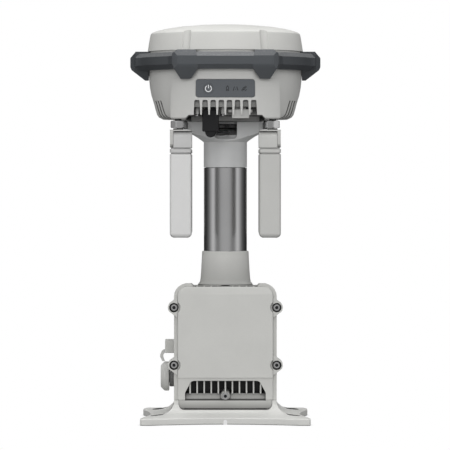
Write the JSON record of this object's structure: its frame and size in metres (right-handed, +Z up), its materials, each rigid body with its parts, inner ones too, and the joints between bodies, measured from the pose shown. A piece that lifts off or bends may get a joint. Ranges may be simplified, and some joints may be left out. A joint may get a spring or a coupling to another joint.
{
  "type": "gnss receiver",
  "caption": "GNSS base-station receiver head with folding rod antennas, carried on a short pole above a finned network power box and a cast foot.",
  "frame": {"origin": "centre of the cast foot's flat underside, on the pole's axis", "axes": "+Z up the pole; -Y is the side with the control panel and the power box's smooth cover; +X is to the right when facing that side, away from the network port"},
  "size_m": [0.1624, 0.143, 0.3381],
  "materials": {
    "shell_plastic": "light grey, finely textured moulding",
    "guard_rubber": "dark blue-grey, satin",
    "panel_film": "dark blue-grey film, satin",
    "rod_plastic": "light grey, satin",
    "painted_casting": "cast aluminium, light grey powder coat",
    "satin_aluminium": "bead-blasted, clear anodised",
    "dark_anodised": "dark anodised, polished",
    "nickel": "nickel plate",
    "brass": "turned",
    "black_plastic": "black moulding",
    "seal_rubber": "black sealing rubber",
    "cap_rubber": "light grey, matte",
    "circuit_board": "green solder mask",
    "battery_sleeve": "blue shrink sleeve",
    "antenna_ceramic": "unglazed",
    "clear_plastic": "clear, frosted"
  },
  "bodies": {
    "station": {"radome": "shell_plastic", "dome_seal": "seal_rubber", "guard_ring": "guard_rubber", "lower_housing": "shell_plastic", "front_panel": "panel_film", "light_guide": "clear_plastic", "main_board": "circuit_board", "gnss_module": "nickel", "ground_plane": "satin_aluminium", "antenna_element": "antenna_ceramic", "battery_cell_front": "battery_sleeve", "battery_cell_rear": "battery_sleeve", "threaded_insert": "brass", "usb_socket": "nickel", "usb_plug": "black_plastic", "clamp_screw_left": "nickel", "clamp_screw_right": "nickel", "mounting_plate": "painted_casting", "pole_bracket": "satin_aluminium", "mounting_bolt": "nickel", "pole_tube": "dark_anodised", "pole_socket": "painted_casting", "power_cable": "black_plastic", "power_box": "painted_casting", "front_shroud": "painted_casting", "box_screw_lower_left": "nickel", "box_screw_lower_right": "nickel", "box_screw_upper_left": "nickel", "box_screw_upper_right": "nickel", "box_screw_vent": "nickel", "power_board": "circuit_board", "transformer": "black_plastic", "network_jack": "nickel", "port_neck": "black_plastic", "cap_strap": "cap_rubber", "base_foot": "painted_casting", "foot_seal": "seal_rubber", "connector_front_left": "nickel", "connector_front_right": "nickel", "connector_rear_left": "nickel", "connector_rear_right": "nickel"},
    "power_button": {"power_button": "panel_film"},
    "port_cover": {"port_cover": "cap_rubber"},
    "port_cap": {"port_cap": "cap_rubber"},
    "nut_front_left": {"coupling_nut_front_left": "nickel"},
    "knuckle_front_left": {"knuckle_front_left": "rod_plastic"},
    "rod_front_left": {"antenna_rod_front_left": "rod_plastic"},
    "nut_front_right": {"coupling_nut_front_right": "nickel"},
    "knuckle_front_right": {"knuckle_front_right": "rod_plastic"},
    "rod_front_right": {"antenna_rod_front_right": "rod_plastic"},
    "nut_rear_left": {"coupling_nut_rear_left": "nickel"},
    "knuckle_rear_left": {"knuckle_rear_left": "rod_plastic"},
    "rod_rear_left": {"antenna_rod_rear_left": "rod_plastic"},
    "nut_rear_right": {"coupling_nut_rear_right": "nickel"},
    "knuckle_rear_right": {"knuckle_rear_right": "rod_plastic"},
    "rod_rear_right": {"antenna_rod_rear_right": "rod_plastic"}
  },
  "joints": [
    {"name": "power_button_press", "type": "slide", "parent": "station", "child": "power_button", "axis": [0, 1, 0], "range_m": [0, 0.0006], "stiffness_N_per_m": 800},
    {"name": "port_cover_pull", "type": "slide", "parent": "station", "child": "port_cover", "axis": [0, 0, -1], "range_m": [0, 0.006]},
    {"name": "port_cap_pull", "type": "slide", "parent": "station", "child": "port_cap", "axis": [-1, 0, 0], "range_m": [0, 0.008]},
    {"name": "nut_spin_front_left", "type": "hinge", "parent": "station", "child": "nut_front_left", "pos_m": [-0.0397, -0.0456, 0.2524], "axis": [0, 0, 1], "continuous": true},
    {"name": "swivel_front_left", "type": "hinge", "parent": "station", "child": "knuckle_front_left", "pos_m": [-0.0397, -0.0456, 0.2486], "axis": [0, 0, -1], "range_deg": [-30, 90]},
    {"name": "fold_front_left", "type": "hinge", "parent": "knuckle_front_left", "child": "rod_front_left", "pos_m": [-0.0375, -0.0456, 0.2401], "axis": [-1, 0, 0], "range_deg": [0, 90]},
    {"name": "nut_spin_front_right", "type": "hinge", "parent": "station", "child": "nut_front_right", "pos_m": [0.0397, -0.0456, 0.2524], "axis": [0, 0, 1], "continuous": true},
    {"name": "swivel_front_right", "type": "hinge", "parent": "station", "child": "knuckle_front_right", "pos_m": [0.0397, -0.0456, 0.2486], "axis": [0, 0, 1], "range_deg": [-30, 90]},
    {"name": "fold_front_right", "type": "hinge", "parent": "knuckle_front_right", "child": "rod_front_right", "pos_m": [0.0375, -0.0456, 0.2401], "axis": [-1, 0, 0], "range_deg": [0, 90]},
    {"name": "nut_spin_rear_left", "type": "hinge", "parent": "station", "child": "nut_rear_left", "pos_m": [-0.0358, 0.0456, 0.2524], "axis": [0, 0, 1], "continuous": true},
    {"name": "swivel_rear_left", "type": "hinge", "parent": "station", "child": "knuckle_rear_left", "pos_m": [-0.0358, 0.0456, 0.2486], "axis": [0, 0, 1], "range_deg": [-30, 90]},
    {"name": "fold_rear_left", "type": "hinge", "parent": "knuckle_rear_left", "child": "rod_rear_left", "pos_m": [-0.038, 0.0456, 0.2401], "axis": [1, 0, 0], "range_deg": [0, 90]},
    {"name": "nut_spin_rear_right", "type": "hinge", "parent": "station", "child": "nut_rear_right", "pos_m": [0.0358, 0.0456, 0.2524], "axis": [0, 0, 1], "continuous": true},
    {"name": "swivel_rear_right", "type": "hinge", "parent": "station", "child": "knuckle_rear_right", "pos_m": [0.0358, 0.0456, 0.2486], "axis": [0, 0, -1], "range_deg": [-30, 90]},
    {"name": "fold_rear_right", "type": "hinge", "parent": "knuckle_rear_right", "child": "rod_rear_right", "pos_m": [0.038, 0.0456, 0.2401], "axis": [1, 0, 0], "range_deg": [0, 90]}
  ]
}
